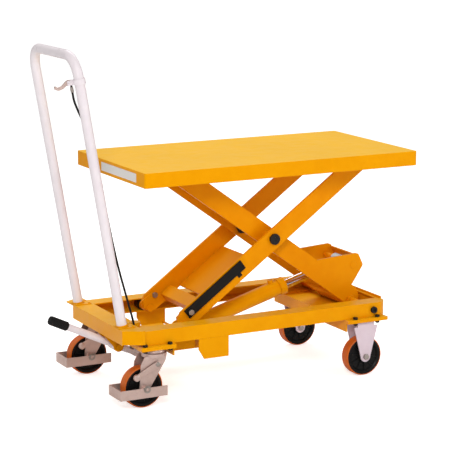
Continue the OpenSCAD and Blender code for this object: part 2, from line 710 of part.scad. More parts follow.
kingpin_r = 6;
module swivel_plates() placed() color(zinc) both() difference() {
  union() {
    caster_plate(rear_x);
    translate([rear_x, caster_y, 163]) cylinder(h = 16, r = 31);
    // kingpin and its nut below the fork head
    translate([rear_x, caster_y, 142]) cylinder(h = 30, r = kingpin_r);
    translate([rear_x, caster_y, 143]) cylinder(h = 8.8, r = 10, $fn = 6);
  }
  bolt_drills(rear_x, 165);
}
module swivel_fork() {
  axle_x = rear_axle_x;
  difference() {
    union() {
      translate([rear_x, caster_y, 152]) cylinder(h = 10.8, r = 38);
      for (y = fork_y) xz_plate(y, y + fork_plate) {
        polygon([
          [rear_x - 40, 158], [rear_x + 30, 158], [rear_x + 26, 140],
          [axle_x + 17, wheel_r - 2], [axle_x - 17, wheel_r - 2], [axle_x - 12, 132]]);
        translate([axle_x, wheel_r]) circle(r = 17);
      }
    }
    y_rod(axle_x, wheel_r, caster_y - 60, caster_y + 60, axle_r + gap);
    y_rod(brake_x, brake_z, caster_y - 60, caster_y + 60, brake_pin_r + gap);
    translate([rear_x, caster_y, 140]) cylinder(h = 30, r = kingpin_r + gap);
  }
  // axle bolt and its nuts
  y_rod(axle_x, wheel_r, caster_y - 45, caster_y + 45, axle_r);
  for (dy = [[-33, -26.1], [26.1, 33]])
    y_hex(axle_x, wheel_r, caster_y + dy[0], caster_y + dy[1], nut_r);
  // flat bar foot guard carried on the axle, open towards +X
  difference() {
    translate([axle_x - 86, caster_y - 43, 37]) cube([152, 86, 30]);
    translate([axle_x - 83, caster_y - 40, 30]) cube([160, 80, 50]);
  }
}
module swivel_fork_left() placed() color(zinc) mirror([0, 1, 0]) swivel_fork();
module swivel_fork_right() placed() color(zinc) swivel_fork();
// foot brake: pin through the fork with a shoe over the tread, strap and knob on the -Y side
module brake(y) {
  axle_x = rear_axle_x;
  knob_x = axle_x - 30;
  knob_z = 99;
  y_steps(brake_x, brake_z, [[y - 34, y + 29, brake_pin_r], [y - 21.8, y + 21.8, 9]]);
  // shoe reaching over the tread
  xz_plate(y - 12, y + 12) polygon([
    [brake_x, 125.8], [axle_x + 24.2, 125.8], [axle_x + 11.6, 133.2],
    [axle_x + 13, 139], [brake_x, 139]]);
  // strap down to the knob
  xz_plate(y - 33, y - 29) {
    translate([brake_x, brake_z]) circle(r = 11);
    translate([knob_x, knob_z]) circle(r = 8.5);
    polygon([
      [brake_x - 3.1, brake_z + 6.8], [knob_x - 3.1, knob_z + 6.8],
      [knob_x + 3.1, knob_z - 6.8], [brake_x + 3.1, brake_z - 6.8]]);
  }
  y_rod(knob_x, knob_z, y - 41, y - 29, 10.5);
}
module brake_left() placed() color(zinc) brake(-caster_y);
module brake_right() placed() color(zinc) brake(caster_y);

platform_deck();
platform_rails();
platform_lugs();
platform_name_plate();
upper_hinge_pins();
arms_outer();
arms_torsion_plate();
outer_roller_axles();
base_rollers();
arms_inner();
inner_ear_brace();
inner_hinge_tube();
top_roller_axles();
top_rollers();
centre_pins();
centre_spacers();
cylinder_ear_shaft();
safety_bar_left();
safety_bar_right();
safety_bar_bolts();
safety_bar_catches();
base_frame();
base_end_member();
caster_channel_front();
caster_channel_rear();
pump_cradle();
hinge_shaft();
hinge_shaft_bolts();
caster_bolts();
handle_tube_frame();
handle_sockets();
lever_clamp();
release_lever();
release_cable();
pump_body();
pump_plunger();
pump_spring();
pedal_bracket();
pedal_lever();
pedal_grip();
hydraulic_hose();
cylinder_pin();
cylinder_barrel();
cylinder_rod();
fixed_forks();
fixed_axles();
wheel_front_left();
wheel_front_right();
tread_front_left();
tread_front_right();
swivel_plates();
swivel_fork_left();
swivel_fork_right();
wheel_rear_left();
wheel_rear_right();
tread_rear_left();
tread_rear_right();
brake_left();
brake_right();
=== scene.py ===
"""Foot-pumped scissor lift trolley with a handle, four wheels and a raised platform.

It stands on z = 0 with its length along X: the front wheels are towards +X, and the handle,
pedal and swivel casters towards -X. "left" in a name means the -Y side. Metres throughout,
except where a comment says millimetres.
"""
import math
import bpy
import bmesh
from mathutils import Matrix, Vector


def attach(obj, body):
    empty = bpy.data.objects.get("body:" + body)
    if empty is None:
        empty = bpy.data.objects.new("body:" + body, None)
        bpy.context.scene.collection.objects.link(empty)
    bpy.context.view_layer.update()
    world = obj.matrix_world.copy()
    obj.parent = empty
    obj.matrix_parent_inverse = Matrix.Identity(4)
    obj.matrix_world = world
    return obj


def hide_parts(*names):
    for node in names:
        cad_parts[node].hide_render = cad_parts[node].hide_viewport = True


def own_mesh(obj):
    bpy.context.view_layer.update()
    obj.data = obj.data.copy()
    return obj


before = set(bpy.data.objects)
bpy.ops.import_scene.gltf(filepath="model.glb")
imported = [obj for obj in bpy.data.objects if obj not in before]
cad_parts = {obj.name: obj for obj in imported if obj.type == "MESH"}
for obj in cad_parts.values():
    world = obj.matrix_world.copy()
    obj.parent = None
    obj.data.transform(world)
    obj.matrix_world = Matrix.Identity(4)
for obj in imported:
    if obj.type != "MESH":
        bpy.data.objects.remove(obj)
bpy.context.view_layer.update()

MM = 0.001

# Pieces are laid out from the middle of the platform; this carries them to the frame's origin.
SHIFT = Vector((0.11711, 0.0, 0.0))
SIDES = (("left", -1), ("right", 1))
ACROSS = (0, 1, 0)
UP = (0, 0, 1)

# Driving dimensions
WHEEL_R = 0.0625            # also the height of the axles
FRONT_AXLE_X = 0.300
REAR_AXLE_X = -0.462
HALF_TRACK = 0.205
SWIVEL_X = -0.420
PUMP_Y = -0.040             # pump plunger and pedal share this line
ARM_ANGLE = math.radians(35.83)
HANDLE_TILT = math.radians(9.6)
HANDLE_POST_Y = 165         # millimetres


# ------------------------------------------------------------------ material tools
class NodeTree:
    """Short ways to add shader nodes to a tree."""

    def __init__(self, tree):
        self.tree = tree

    def feed(self, socket, value):
        """Links an output socket, or sets a plain value; a colour gets alpha 1."""
        if isinstance(value, bpy.types.NodeSocket):
            self.tree.links.new(value, socket)
        elif isinstance(value, tuple) and socket.type != "VECTOR":
            socket.default_value = (*value, 1.0)
        else:
            socket.default_value = value

    def node(self, kind, inputs=None, **settings):
        made = self.tree.nodes.new(kind)
        for key, value in settings.items():
            setattr(made, key, value)
        for key, value in (inputs or {}).items():
            self.feed(made.inputs[key], value)
        return made

    def ramp(self, value, between, to=(0.0, 1.0), **settings):
        return self.node("ShaderNodeMapRange", {
            "From Min": between[0], "From Max": between[1],
            "To Min": to[0], "To Max": to[1], "Value": value}, **settings).outputs[0]

    def calc(self, operation, a, b):
        return self.node("ShaderNodeMath", {0: a, 1: b}, operation=operation).outputs[0]


class Material(NodeTree):
    """A procedural material around one Principled shader."""

    def __init__(self, name):
        self.material = bpy.data.materials.new(name)
        self.material.use_nodes = True
        super().__init__(self.material.node_tree)
        self.tree.nodes.clear()
        self.output = self.node("ShaderNodeOutputMaterial")
        self.shader = self.node("ShaderNodeBsdfPrincipled")
        self.feed(self.output.inputs[0], self.shader.outputs[0])
        self.coords = self.node("ShaderNodeTexCoord").outputs["Object"]

    def noise(self, scale, detail=3.0, rough=0.55, stretch=None, distortion=0.0):
        made = self.node("ShaderNodeTexNoise", {
            "Scale": scale, "Detail": detail, "Roughness": rough, "Distortion": distortion})
        coords = self.coords
        if stretch:
            coords = self.node("ShaderNodeMapping", {"Scale": stretch, "Vector": coords}).outputs[0]
        self.feed(made.inputs["Vector"], coords)
        return made.outputs["Fac"]

    def mix(self, factor, a, b):
        return self.node("ShaderNodeMix", {"Factor": factor, 6: a, 7: b},
                         data_type="RGBA").outputs[2]

    def edge(self, radius, gain):
        """1 on convex and concave edges, 0 on flat faces."""
        rounded = self.node("ShaderNodeBevel", {"Radius": radius}, samples=4)
        flat = self.node("ShaderNodeNewGeometry")
        dot = self.node("ShaderNodeVectorMath",
                        {0: rounded.outputs[0], 1: flat.outputs["Normal"]},
                        operation="DOT_PRODUCT")
        turned = self.calc("SUBTRACT", 1.0, dot.outputs["Value"])
        return self.calc("MINIMUM", self.calc("MULTIPLY", turned, gain), 1.0)

    def bump(self, height, strength, distance, below=None):
        made = self.node("ShaderNodeBump",
                         {"Strength": strength, "Distance": distance, "Height": height})
        if below is not None:
            self.feed(made.inputs["Normal"], below)
        return made.outputs[0]

    def finish(self, inputs):
        for key, value in inputs.items():
            self.feed(self.shader.inputs[key], value)
        return self.material


def linear(colour):
    """Linear values of an 8-bit sRGB colour."""
    parts = (value / 255.0 for value in colour)
    return tuple(p / 12.92 if p <= 0.04045 else ((p + 0.055) / 1.055) ** 2.4 for p in parts)


def scaled(colour, factor, lift=0.0):
    return tuple(min(1.0, part * factor + lift) for part in colour)


# ------------------------------------------------------------------ material kinds
def paint(name, base, dark, light, wear, rough=0.33, wear_amount=0.8, corner_shade_amount=0.25, top=None,
          tint=(1.0, 1.0, 1.0), spec=0.20, peel=0.06):
    """Paint with painted shade in corners, upward faces painted lighter as if lit, chipped edges,
    scratches and some orange peel.
    """
    base, dark, light, wear = map(linear, (base, dark, light, wear))
    mat = Material(name)
    broad = mat.noise(scale=3.2, detail=4.0)
    mid = mat.noise(scale=28.0, detail=5.0)
    fine = mat.noise(scale=900.0, detail=2.0)
    colour = mat.mix(mat.ramp(broad, between=(0.35, 0.68)), base, dark)
    colour = mat.mix(mat.ramp(mid, between=(0.42, 0.78), to=(0.0, 0.35)), colour, light)
    if top:
        # painted light: faces that look up get a lighter, yellower colour, as if lit from above
        top = linear(top)
        facing = mat.node("ShaderNodeSeparateXYZ")
        mat.feed(facing.inputs[0], mat.node("ShaderNodeNewGeometry").outputs["Normal"])
        colour = mat.mix(mat.ramp(facing.outputs["Z"], between=(0.55, 0.95)), colour,
                         mat.mix(mat.ramp(broad, between=(0.3, 0.7)), top, scaled(top, 0.93)))
    # painted shade: corners and recesses found by ambient occlusion are darkened towards a dark
    # copy of the paint, patchily by noise
    corners = mat.node("ShaderNodeAmbientOcclusion", {"Distance": 0.02}, samples=4)
    corner_shade = mat.calc("MULTIPLY",
                     mat.ramp(corners.outputs["AO"], between=(0.35, 0.9), to=(corner_shade_amount, 0.0)),
                     mat.ramp(mid, between=(0.3, 0.7), to=(0.4, 1.0)))
    colour = mat.mix(corner_shade, colour, scaled(dark, 0.30))
    # chipped and rubbed edges
    chips = mat.calc("MULTIPLY", mat.edge(radius=0.0012, gain=6.0),
                     mat.ramp(mat.noise(scale=150.0, detail=4.0), between=(0.52, 0.66)))
    chips = mat.calc("MULTIPLY", chips, wear_amount)
    colour = mat.mix(chips, colour, wear)
    streaks = mat.noise(scale=60.0, detail=3.0, rough=0.6, stretch=(1.0, 26.0, 26.0),
                        distortion=0.4)
    colour = mat.mix(mat.ramp(streaks, between=(0.66, 0.70), to=(0.0, 0.16)), colour, light)
    roughness = mat.calc(
        "ADD", mat.ramp(mid, between=(0.3, 0.7), to=(rough - 0.05, rough + 0.09)),
        mat.calc("MULTIPLY", chips, 0.25))
    normal = mat.bump(fine, strength=0.05, distance=0.0006)
    normal = mat.bump(mat.noise(scale=160.0, detail=2.0), strength=peel, distance=0.0006,
                      below=normal)
    return mat.finish({
        "Specular Tint": tint, "Base Color": colour, "Roughness": roughness, "Normal": normal,
        "Coat Weight": 0.0, "Coat Roughness": 0.25, "Specular IOR Level": spec})


def metal(name, base, tint, rough=0.34, stretch=(1, 1, 1), bump=0.12, patch=0.5, metallic=1.0):
    """Bare or plated metal with broad patches, faint spangle and brushing."""
    base, tint = linear(base), linear(tint)
    mat = Material(name)
    broad = mat.noise(scale=14.0, detail=5.0)
    spangle = mat.node("ShaderNodeTexVoronoi", {"Scale": 160.0, "Vector": mat.coords})
    brush = mat.noise(scale=320.0, detail=4.0, rough=0.6, stretch=stretch)
    colour = mat.mix(mat.ramp(broad, between=(0.3, 0.72), to=(0.0, patch)), base, tint)
    colour = mat.mix(mat.ramp(spangle.outputs["Distance"], between=(0.1, 0.7), to=(0.0, 0.18)),
                     colour, scaled(base, 1.15))
    edge = mat.edge(radius=0.0009, gain=6.0)
    colour = mat.mix(mat.calc("MULTIPLY", edge, 0.35), colour, scaled(base, 1.25))
    roughness = mat.calc(
        "ADD", mat.ramp(brush, between=(0.25, 0.75), to=(rough - 0.08, rough + 0.10)),
        mat.ramp(broad, between=(0.3, 0.7), to=(-0.03, 0.06)))
    return mat.finish({"Base Color": colour, "Roughness": roughness, "Metallic": metallic,
                       "Normal": mat.bump(brush, strength=bump, distance=0.0004)})


def plastic(name, base, light, rough=0.45, scale=500.0, bump=0.12):
    """Dark plastic, rubber or thick black paint, with edges rubbed lighter."""
    base, light = linear(base), linear(light)
    mat = Material(name)
    mid = mat.noise(scale=36.0, detail=4.0)
    fine = mat.noise(scale=scale, detail=3.0)
    colour = mat.mix(mat.ramp(mid, between=(0.35, 0.75), to=(0.0, 0.6)), base, light)
    edge = mat.edge(radius=0.0010, gain=5.0)
    rubbed = mat.calc("MULTIPLY", edge, mat.ramp(fine, between=(0.4, 0.6)))
    colour = mat.mix(mat.calc("MULTIPLY", rubbed, 0.35), colour, scaled(light, 2.2, lift=0.02))
    roughness = mat.ramp(mid, between=(0.3, 0.7), to=(rough - 0.07, rough + 0.10))
    return mat.finish({"Base Color": colour, "Roughness": roughness,
                       "Normal": mat.bump(fine, strength=bump, distance=0.0005),
                       "Specular IOR Level": 0.18})


def tread_rubber(name, base, dark, dust):
    """Wheel tread with dusty scuffs."""
    base, dark, dust = map(linear, (base, dark, dust))
    mat = Material(name)
    mid = mat.noise(scale=22.0, detail=5.0)
    fine = mat.noise(scale=700.0, detail=3.0)
    scuff = mat.noise(scale=90.0, detail=4.0, rough=0.65)
    colour = mat.mix(mat.ramp(mid, between=(0.35, 0.7)), base, dark)
    colour = mat.mix(mat.ramp(scuff, between=(0.58, 0.72), to=(0.0, 0.45)), colour, dust)
    roughness = mat.ramp(scuff, between=(0.3, 0.7), to=(0.38, 0.62))
    normal = mat.bump(fine, strength=0.10, distance=0.0005)
    normal = mat.bump(scuff, strength=0.12, distance=0.0008, below=normal)
    return mat.finish({"Base Color": colour, "Roughness": roughness, "Normal": normal,
                       "Specular IOR Level": 0.45})


# ------------------------------------------------------------------ materials
# Colours are 8-bit sRGB.
YELLOW_SHEEN = (1.0, 0.62, 0.06)    # linear tint of the highlights on yellow paint
# each top colour is painted light: a lighter, yellower tone for the faces that look up
ORANGE = paint(
    "paint_orange_yellow", base=(239, 161, 2), dark=(232, 149, 0), light=(244, 172, 8),
    wear=(120, 70, 18), top=(250, 186, 14), tint=YELLOW_SHEEN, spec=0.32)
# painted shade: a darker copy of the orange paint for the arms and the pins among them, as if in
# the platform's shadow
ORANGE_ARM_SHADED = paint(
    "paint_orange_yellow_arms", base=(233, 146, 0), dark=(225, 132, 0), light=(240, 160, 6),
    wear=(120, 66, 18), rough=0.36, top=(244, 170, 10), tint=YELLOW_SHEEN, spec=0.32)
# the deck's top colour is painted light and a painted sheen, paler and bluer than its sides
ORANGE_DECK = paint(
    "paint_orange_yellow_deck", base=(237, 159, 2), dark=(230, 148, 0), light=(243, 170, 10),
    wear=(150, 92, 30), rough=0.50, wear_amount=0.5, corner_shade_amount=0.1, top=(247, 190, 44),
    tint=YELLOW_SHEEN, spec=0.15, peel=0.02)
FORK_WHITE = paint(
    "paint_white_forks", base=(226, 210, 218), dark=(217, 199, 209), light=(234, 220, 228),
    wear=(150, 140, 138), rough=0.30, wear_amount=0.5, corner_shade_amount=0.25)
WHITE = paint(
    "paint_white", base=(235, 228, 232), dark=(228, 219, 224), light=(240, 235, 238),
    wear=(150, 140, 138), rough=0.30, wear_amount=0.5, corner_shade_amount=0.18)
PLATE = paint(
    "name_plate_white", base=(228, 226, 222), dark=(218, 216, 212), light=(236, 234, 232),
    wear=(170, 168, 165), rough=0.35, wear_amount=0.3)
ZINC = metal("zinc_plated_steel", base=(212, 188, 180), tint=(184, 158, 147), rough=0.42,
             patch=0.7, metallic=0.75)
ZINC_DARK = metal("zinc_bolts", base=(176, 168, 162), tint=(140, 130, 122), rough=0.38,
                  patch=0.6)
STEEL = metal("bright_steel", base=(186, 184, 182), tint=(150, 146, 142), rough=0.30,
              stretch=(1, 18, 1))
CHROME = metal("hard_chrome_rod", base=(226, 226, 230), tint=(206, 206, 212), rough=0.14,
               patch=0.3, bump=0.03)
BLACK_METAL = metal("black_oxide", base=(34, 32, 32), tint=(22, 20, 20), rough=0.42,
                    metallic=0.6)
BLACK_BAR = plastic("black_paint_bar", base=(13, 11, 10), light=(26, 23, 21), rough=0.38,
                    scale=260.0)
NYLON = plastic("black_nylon_wheel", base=(9, 8, 8), light=(19, 17, 16), rough=0.40,
                scale=420.0)
RUBBER = plastic("black_rubber", base=(17, 16, 16), light=(32, 30, 30), rough=0.62,
                 scale=380.0, bump=0.2)
TREAD = tread_rubber("orange_polyurethane", base=(214, 104, 12), dark=(196, 86, 6),
                     dust=(206, 132, 70))
# top: painted light on the upper faces of the beads
WELD = paint(
    "weld_bead_painted", base=(226, 142, 2), dark=(212, 128, 0), light=(238, 158, 12),
    wear=(110, 62, 16), rough=0.34, top=(244, 170, 10), tint=YELLOW_SHEEN, spec=0.32)


# ------------------------------------------------------------------ CAD pieces
def by_name(groups):
    """Spreads (value, "name name ...") rows into a name: value table."""
    return {name: value for value, names in groups for name in names.split()}


# CAD pieces that aren't listed are ORANGE
CAD_MATERIALS = by_name((
    # arms and their pins get the darker copy of the paint: painted shade
    (ORANGE_ARM_SHADED, "arms_outer arms_inner arms_torsion_plate inner_ear_brace inner_hinge_tube "
                 "centre_spacers outer_roller_axles cylinder_ear_shaft hinge_shaft"),
    (ORANGE_DECK, "platform_deck"),
    (PLATE, "platform_name_plate"),
    (STEEL, "upper_hinge_pins top_roller_axles pump_plunger pump_spring cylinder_pin"),
    (NYLON, "base_rollers top_rollers wheel_front_left wheel_front_right wheel_rear_left "
            "wheel_rear_right"),
    (TREAD, "tread_front_left tread_front_right tread_rear_left tread_rear_right"),
    (BLACK_METAL, "centre_pins hinge_shaft_bolts caster_bolts"),
    (BLACK_BAR, "safety_bar_left safety_bar_right safety_bar_catches"),
    (ZINC_DARK, "safety_bar_bolts fixed_axles"),
    (WHITE, "handle_tube_frame lever_clamp pedal_lever"),
    (ZINC, "release_lever swivel_plates swivel_fork_left swivel_fork_right brake_left "
           "brake_right"),
    (RUBBER, "release_cable pedal_grip hydraulic_hose"),
    (CHROME, "cylinder_rod"),
    (FORK_WHITE, "fixed_forks"),
))
# Width of the eased edges, millimetres
DEFAULT_EASE = 0.5
CAD_EASE = by_name((
    (1.6, "platform_deck base_frame"),
    (1.2, "base_end_member caster_channel_front caster_channel_rear"),
    (0.9, "arms_outer arms_inner"),
    (0.8, "safety_bar_left safety_bar_right fixed_forks swivel_fork_left swivel_fork_right"),
))


def ease_edges(obj, width):
    bevel = obj.modifiers.new("ease", "BEVEL")
    bevel.width = width
    bevel.segments = 2
    bevel.limit_method = "ANGLE"
    bevel.angle_limit = math.radians(32)
    bevel.use_clamp_overlap = True


def dress_cad(name, obj):
    """Gives a CAD piece its material and eased edges."""
    material = CAD_MATERIALS.get(name, ORANGE)
    if not obj.material_slots:
        obj.data.materials.append(material)
    for slot in obj.material_slots:
        slot.link = "OBJECT"
        slot.material = material
    if name == "pump_spring":
        return
    weld = obj.modifiers.new("weld", "WELD")
    weld.merge_threshold = 0.00002
    # joins the flat triangles of the CAD mesh, so that the eased edges stay clean
    flat = obj.modifiers.new("flat", "DECIMATE")
    flat.decimate_type = "DISSOLVE"
    flat.angle_limit = math.radians(0.4)
    ease_edges(obj, CAD_EASE.get(name, DEFAULT_EASE) * MM)
    shading = obj.modifiers.new("norm", "WEIGHTED_NORMAL")
    shading.keep_sharp = True


# ------------------------------------------------------------------ mesh tools
def add(name, bm, material, body, ease=0.0, replaces=None, smooth=True, flat_angle=35):
    """Makes the mesh an object that rides on body."""
    bmesh.ops.recalc_face_normals(bm, faces=bm.faces)
    mesh = bpy.data.meshes.new(name)
    bm.to_mesh(mesh)
    bm.free()
    mesh.transform(Matrix.Translation(SHIFT))
    if smooth:
        mesh.polygons.foreach_set("use_smooth", [True] * len(mesh.polygons))
        mesh.set_sharp_from_angle(angle=math.radians(flat_angle))
    mesh.materials.append(material)
    obj = bpy.data.objects.new(name, mesh)
    bpy.context.scene.collection.objects.link(obj)
    if ease:
        ease_edges(obj, ease)
    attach(obj, body)
    if replaces:
        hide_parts(replaces)
    return obj


def axes_about(direction):
    """The unit direction and two unit vectors square to it."""
    axis = Vector(direction).normalized()
    helper = Vector((0, 0, 1)) if abs(axis.z) < 0.9 else Vector((1, 0, 0))
    u = axis.cross(helper).normalized()
    return axis, u, axis.cross(u).normalized()


def on_circle(u, v, angle):
    return u * math.cos(angle) + v * math.sin(angle)


def join_rings(bm, rings, closed):
    """Faces between neighbouring rings; a ring of one vertex is a point on the axis."""
    pairs = list(zip(rings, rings[1:]))
    if closed:
        pairs.append((rings[-1], rings[0]))
    for a, b in pairs:
        count = max(len(a), len(b))
        if count == 1:
            continue
        for k in range(count):
            q = (k + 1) % count
            if len(a) == 1:
                bm.faces.new((a[0], b[k], b[q]))
            elif len(b) == 1:
                bm.faces.new((a[k], a[q], b[0]))
            else:
                bm.faces.new((a[k], a[q], b[q], b[k]))


def lathe_into(bm, profile, centre, direction, seg=64, closed=True):
    """Turns (radius, offset along the axis) pairs about direction."""
    axis, u, v = axes_about(direction)
    centre = Vector(centre)
    rings = []
    for radius, offset in profile:
        middle = centre + axis * offset
        if radius < 1e-7:
            rings.append([bm.verts.new(middle)])
        else:
            rings.append([bm.verts.new(middle + on_circle(u, v, math.tau * k / seg) * radius)
                          for k in range(seg)])
    join_rings(bm, rings, closed)


def lathe(name, profile, centre, direction, material, body, seg=64, closed=True, **options):
    bm = bmesh.new()
    lathe_into(bm, profile, centre, direction, seg, closed)
    return add(name, bm, material, body, **options)


def mirrored(profile, sign):
    """The profile with its offsets along the axis times sign."""
    return [(radius, sign * offset) for radius, offset in profile]


def prism_into(bm, outline, y0, y1):
    """Extrudes an XZ outline from y0 to y1."""
    a = [bm.verts.new((x, y0, z)) for x, z in outline]
    b = [bm.verts.new((x, y1, z)) for x, z in outline]
    bm.faces.new(a)
    bm.faces.new(list(reversed(b)))
    for k in range(len(outline)):
        q = (k + 1) % len(outline)
        bm.faces.new((a[k], b[k], b[q], a[q]))


def sweep_into(bm, points, radius, seg, closed=False):
    """A round bar along points; radius is a number or one value per point."""
    points = [Vector(p) for p in points]
    count = len(points)
    radii = radius if isinstance(radius, list) else [radius] * count
    rings = []
    u = None
    for i, point in enumerate(points):
        if closed:
            tangent = (points[(i + 1) % count] - points[i - 1]).normalized()
        else:
            tangent = (points[min(i + 1, count - 1)] - points[max(i - 1, 0)]).normalized()
        if u is None:
            u = axes_about(tangent)[1]
        else:
            u = (u - tangent * u.dot(tangent)).normalized()
        v = tangent.cross(u).normalized()
        rings.append([bm.verts.new(point + on_circle(u, v, math.tau * k / seg) * radii[i])
                      for k in range(seg)])
    join_rings(bm, rings, closed)
    if not closed:
        bm.faces.new(list(reversed(rings[0])))
        bm.faces.new(rings[-1])


def capsule(start, start_r, end, end_r, steps=16):
    """Outline of a strap with round ends, in the XZ plane."""
    heading = math.atan2(end[1] - start[1], end[0] - start[0])
    ends = ((end, end_r, heading - math.pi / 2), (start, start_r, heading + math.pi / 2))
    return [(centre[0] + radius * math.cos(first + math.pi * k / steps),
             centre[1] + radius * math.sin(first + math.pi * k / steps))
            for centre, radius, first in ends for k in range(steps + 1)]


def smooth_path(points, per):
    """Catmull-Rom curve through the points, with per steps in each span."""
    knots = [Vector(p) for p in points]
    knots = [knots[0] * 2 - knots[1]] + knots + [knots[-1] * 2 - knots[-2]]
    curve = []
    for i in range(1, len(knots) - 2):
        a, b, c, d = knots[i - 1:i + 3]
        for k in range(per):
            t = k / per
            curve.append(0.5 * ((2 * b) + (c - a) * t + (2 * a - 5 * b + 4 * c - d) * t * t
                                + (3 * b - a - 3 * c + d) * t ** 3))
    curve.append(knots[-2])
    return curve


def arm_point(along, y, above):
    """A point in an outer arm's own frame, in millimetres from the centre pin."""
    cos, sin = math.cos(ARM_ANGLE), math.sin(ARM_ANGLE)
    return ((25 + along * cos - above * sin) * MM, y * MM,
            (446.5 + along * sin + above * cos) * MM)


def handle_point(x, y, up):
    """A point in the tilted handle's frame, in millimetres from its foot."""
    cos, sin = math.cos(HANDLE_TILT), math.sin(HANDLE_TILT)
    return Vector((-504 + x * cos - up * sin, y, 238 + x * sin + up * cos)) * MM


# ------------------------------------------------------------------ wheels
# (radius, offset from the middle plane)
CORE_HALF = [
    (0.0584, 0.0170), (0.0576, 0.0177), (0.0560, 0.0180), (0.0505, 0.0178), (0.0470, 0.0150),
    (0.0455, 0.0120), (0.0260, 0.0105), (0.0215, 0.0112), (0.0195, 0.0140), (0.0185, 0.0195),
    (0.0175, 0.0205), (0.0150, 0.0205), (0.0145, 0.0196), (0.0110, 0.0196), (0.0106, 0.0213),
    (0.0062, 0.0213)]
TREAD_HALF = [
    (0.0585, 0.0170), (0.0600, 0.0173), (0.0611, 0.0166), (0.0619, 0.0148), (0.0624, 0.0115),
    (WHEEL_R, 0.0070), (WHEEL_R, 0.0)]
# (radius, offset from the bearing face)
SHIELD = [(0.0143, 0.0), (0.0143, 0.0008), (0.0120, 0.0011), (0.0112, 0.0006), (0.0112, 0.0)]
SHIELD_FACE = 0.0195
RIBS = 10
RIB_HALF_WIDTH = 0.0014
RIB_DEPTH = 0.0045
RIB_ENDS = ((0.0195, 0.0133), (0.0475, 0.0142))     # (radius, offset of the rib's crest)
BOX_FACES = ((0, 1, 3, 2), (4, 6, 7, 5), (0, 4, 5, 1), (2, 3, 7, 6), (0, 2, 6, 4), (1, 5, 7, 3))


def rib_into(bm, centre, face, angle):
    axis, u, v = axes_about(ACROSS)
    radial = on_circle(u, v, angle)
    sideways = axis.cross(radial)
    crest = [centre + radial * radius + sideways * RIB_HALF_WIDTH * sign
             + Vector((0, face * offset, 0))
             for radius, offset in RIB_ENDS for sign in (-1, 1)]
    root = [p - Vector((0, face * RIB_DEPTH, 0)) for p in crest]
    verts = [bm.verts.new(p) for p in crest + root]
    for corners in BOX_FACES:
        bm.faces.new([verts[i] for i in corners])


def wheel(end, side, x, y):
    """Ribbed core, round-shouldered tread and two bearing shields."""
    tag = f"{end}_{side}"
    body = f"{end}_wheel_{side[0]}"
    centre = Vector((x, y, WHEEL_R))
    bm = bmesh.new()
    lathe_into(bm, CORE_HALF + mirrored(reversed(CORE_HALF), -1), centre, ACROSS, 96)
    for face in (-1, 1):
        for k in range(RIBS):
            rib_into(bm, centre, face, math.tau * k / RIBS + 0.2)
    add("wheel_core_detail_" + tag, bm, NYLON, body, replaces="wheel_" + tag)
    lathe("tread_detail_" + tag, TREAD_HALF + mirrored(reversed(TREAD_HALF[:-1]), -1),
          centre, ACROSS, TREAD, body, 128, replaces="tread_" + tag)
    for face_side, face in SIDES:
        lathe(f"bearing_shield_{tag}_{face_side[0]}", mirrored(SHIELD, face),
              (x, y + face * SHIELD_FACE, WHEEL_R), ACROSS, STEEL, body)


# ------------------------------------------------------------------ pump and pedal
def pump_spring():
    """The return spring as one coil with closed end turns."""
    x, turns, steps = -0.406, 6.5, 420
    coil_r, wire_r = 0.0125, 0.00135
    bottom, top = 0.1427, 0.1800
    end_turn, end_rise = 0.8, 0.0012
    points = []
    for i in range(steps + 1):
        turn = i / steps * turns
        if turn < end_turn:
            z = bottom + turn / end_turn * end_rise
        elif turn > turns - end_turn:
            z = top - (turns - turn) / end_turn * end_rise
        else:
            z = (bottom + end_rise + (top - bottom - 2 * end_rise)
                 * (turn - end_turn) / (turns - 2 * end_turn))
        angle = math.tau * turn
        points.append((x + coil_r * math.cos(angle), PUMP_Y + coil_r * math.sin(angle), z))
    bm = bmesh.new()
    sweep_into(bm, points, wire_r, 10)
    spring = add("pump_spring_coil", bm, STEEL, "base", replaces="pump_spring")
    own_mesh(spring)


def pedal_grip():
    """Rubber sleeve with raised bands, on the -X end of the pedal lever."""
    slope = math.radians(25.6)
    bore = 0.01103
    # (radius, offset from the pedal pivot)
    profile = [(bore, -0.1742), (0.0126, -0.1742), (0.0132, -0.1750)]
    for k in range(11):
        start = -0.1758 - 0.0052 * k
        profile += [(0.0132, start), (0.0141, start - 0.0006), (0.0141, start - 0.0024),
                    (0.0132, start - 0.0030)]
    profile += [(0.0132, -0.2338), (0.0127, -0.2350), (0.0114, -0.2358), (0.0080, -0.2360),
                (0.0, -0.2360), (0.0, -0.2292), (bore, -0.2292)]
    lathe("pedal_grip_sleeve", profile, (-0.470, PUMP_Y, 0.150),
          (math.cos(slope), 0, -math.sin(slope)), RUBBER, "pedal", 72, replaces="pedal_grip")


# ------------------------------------------------------------------ welds
COIN = 0.0030           # length of one ripple of a bead
BEAD_STEP = 0.0007


def bead_into(bm, start, end, size, seed):
    """A straight stacked-coin weld bead, thinner at its ends."""
    start, end = Vector(start), Vector(end)
    length = (end - start).length
    steps = max(6, int(length / BEAD_STEP))
    points, radii = [], []
    for i in range(steps + 1):
        part = i / steps
        along = part * length
        wobble = 0.12 * math.sin(along * 310.0 + seed * 1.7) + 0.07 * math.sin(along * 131.0 + seed)
        ripple = 0.16 * abs(math.sin(math.pi * along / COIN + seed))
        taper = min(1.0, 0.35 + 3.0 * min(part, 1 - part) * length / 0.006 * 0.3)
        points.append(start.lerp(end, part))
        radii.append(size * (0.86 + wobble + ripple) * taper)
    sweep_into(bm, points, radii, 8)


def ring_bead_into(bm, centre, direction, radius, size, steps=220):
    _, u, v = axes_about(direction)
    points, radii = [], []
    for i in range(steps):
        angle = math.tau * i / steps
        ripple = abs(math.sin(math.pi * (angle * radius) / COIN))
        points.append(Vector(centre) + on_circle(u, v, angle) * radius)
        radii.append(size * (0.84 + 0.18 * ripple + 0.08 * math.sin(angle * 7)))
    sweep_into(bm, points, radii, 8, closed=True)


